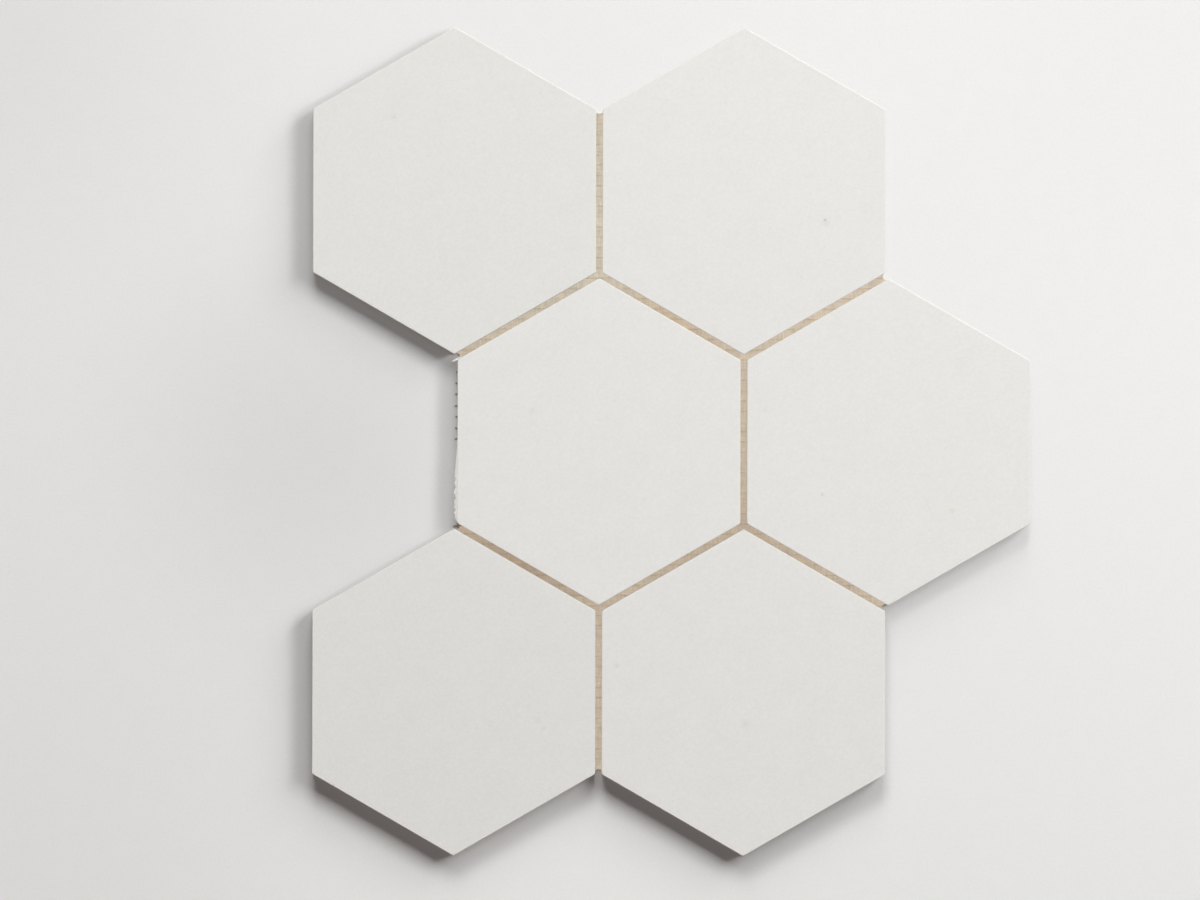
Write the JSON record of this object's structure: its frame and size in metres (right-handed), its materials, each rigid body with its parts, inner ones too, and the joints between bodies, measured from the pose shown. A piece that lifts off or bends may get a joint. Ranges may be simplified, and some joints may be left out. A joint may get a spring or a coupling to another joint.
{
  "type": "hexagon floor tile sheet",
  "caption": "Interlocking sheet of honed white stone hexagon floor tiles, corner up, held at an even joint by a resin-bonded mesh on their backs.",
  "frame": {"origin": "middle of the sheet on the underside of the mesh, which is the middle of the bottom of its box", "axes": "+X along a row of tiles, +Y up the sheet across the rows, +Z out of the tile faces"},
  "size_m": [0.2534, 0.2924, 0.0108],
  "materials": {
    "white_stone": "honed",
    "mesh_resin": "matte resin over glass yarn"
  },
  "bodies": {
    "root": {"tile_top_left": "white_stone", "tile_top_right": "white_stone", "tile_middle_left": "white_stone", "tile_middle_right": "white_stone", "tile_bottom_left": "white_stone", "tile_bottom_right": "white_stone", "mesh_backing": "mesh_resin"}
  },
  "joints": []
}
